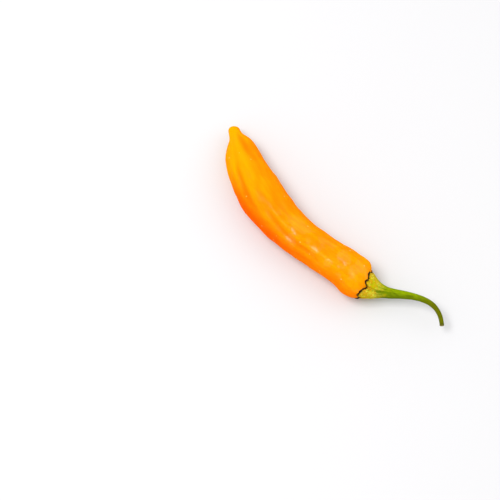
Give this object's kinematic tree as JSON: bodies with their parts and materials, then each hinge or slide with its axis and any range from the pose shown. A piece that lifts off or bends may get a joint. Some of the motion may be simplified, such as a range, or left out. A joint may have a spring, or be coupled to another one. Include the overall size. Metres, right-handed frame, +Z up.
{
  "type": "aji amarillo pepper",
  "caption": "Long ripe orange chilli pepper as picked, slightly curved and furrowed, with a toothed green calyx and a curved stem, lying on its side.",
  "frame": {"origin": "on the table, under the middle of the pepper's footprint", "axes": "+X runs from the tip towards the stem, +Z is up, and the pod's outer bend is towards -Y"},
  "size_m": [0.1668, 0.0378, 0.0254],
  "materials": {
    "pod_skin": "smooth waxy yellow-orange skin with a soft shine",
    "green_stem": "satin green stem that turns yellow on the calyx, with a dry dark rim"
  },
  "bodies": {
    "root": {"pod": "pod_skin", "calyx_and_stem": "green_stem"}
  },
  "joints": []
}
